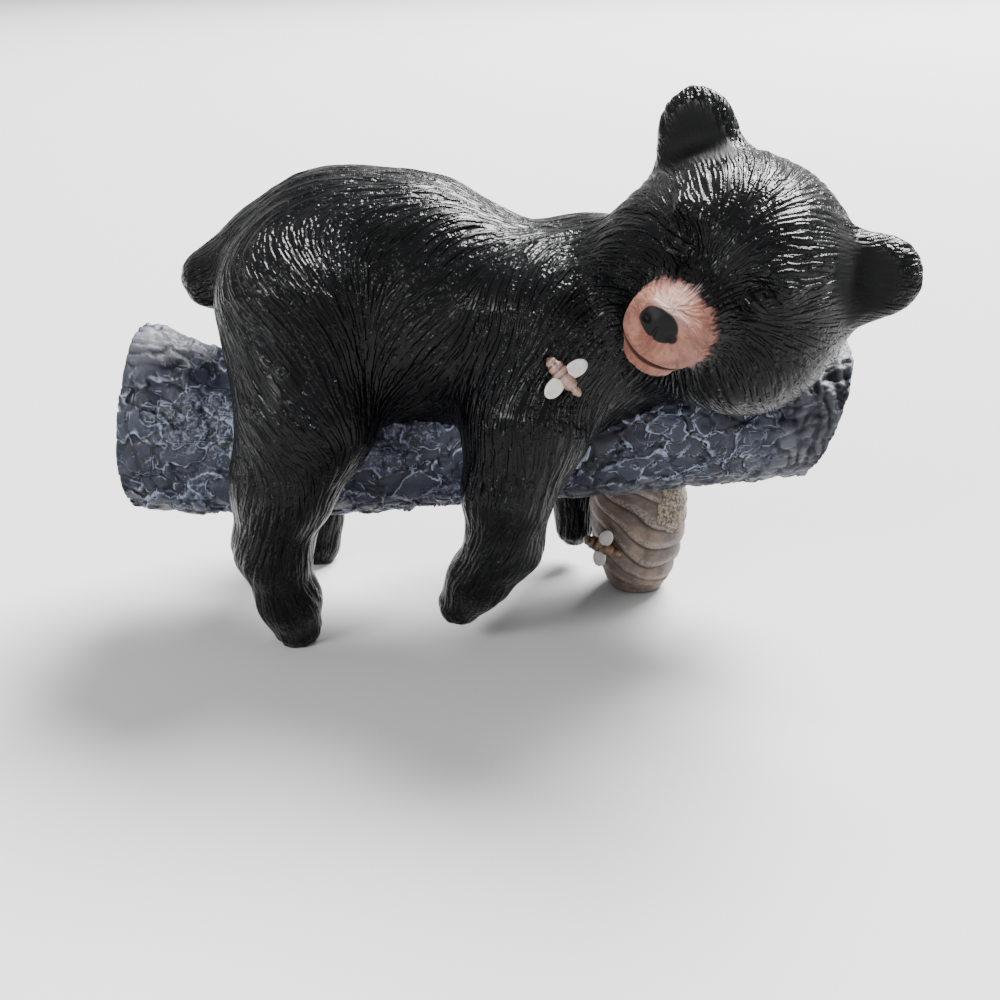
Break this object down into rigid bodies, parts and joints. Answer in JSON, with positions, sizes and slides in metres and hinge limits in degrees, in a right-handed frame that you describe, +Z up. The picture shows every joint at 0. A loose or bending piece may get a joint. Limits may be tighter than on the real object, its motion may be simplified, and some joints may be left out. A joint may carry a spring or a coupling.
{
  "type": "bear cub figure on a log",
  "caption": "Painted resin figure of a bear cub asleep over a bark log, legs hanging down either side, with a small hive under the log and glued-on bees.",
  "frame": {"origin": "middle of the bounding box, on the ground that the figure stands on", "axes": "+Z up, +X along the log towards the cub's head, -Y out of the cub's face"},
  "size_m": [0.3194, 0.166, 0.2261],
  "materials": {
    "painted_resin": "hand-painted polyresin: gloss black fur, tan muzzle, satin blue-grey bark and beige hive",
    "bee_resin": "hand-painted polyresin: brown to tan body and white wings"
  },
  "bodies": {
    "root": {"bear_on_log": "painted_resin", "shoulder_bee": "bee_resin", "hive_bee": "bee_resin"}
  },
  "joints": []
}
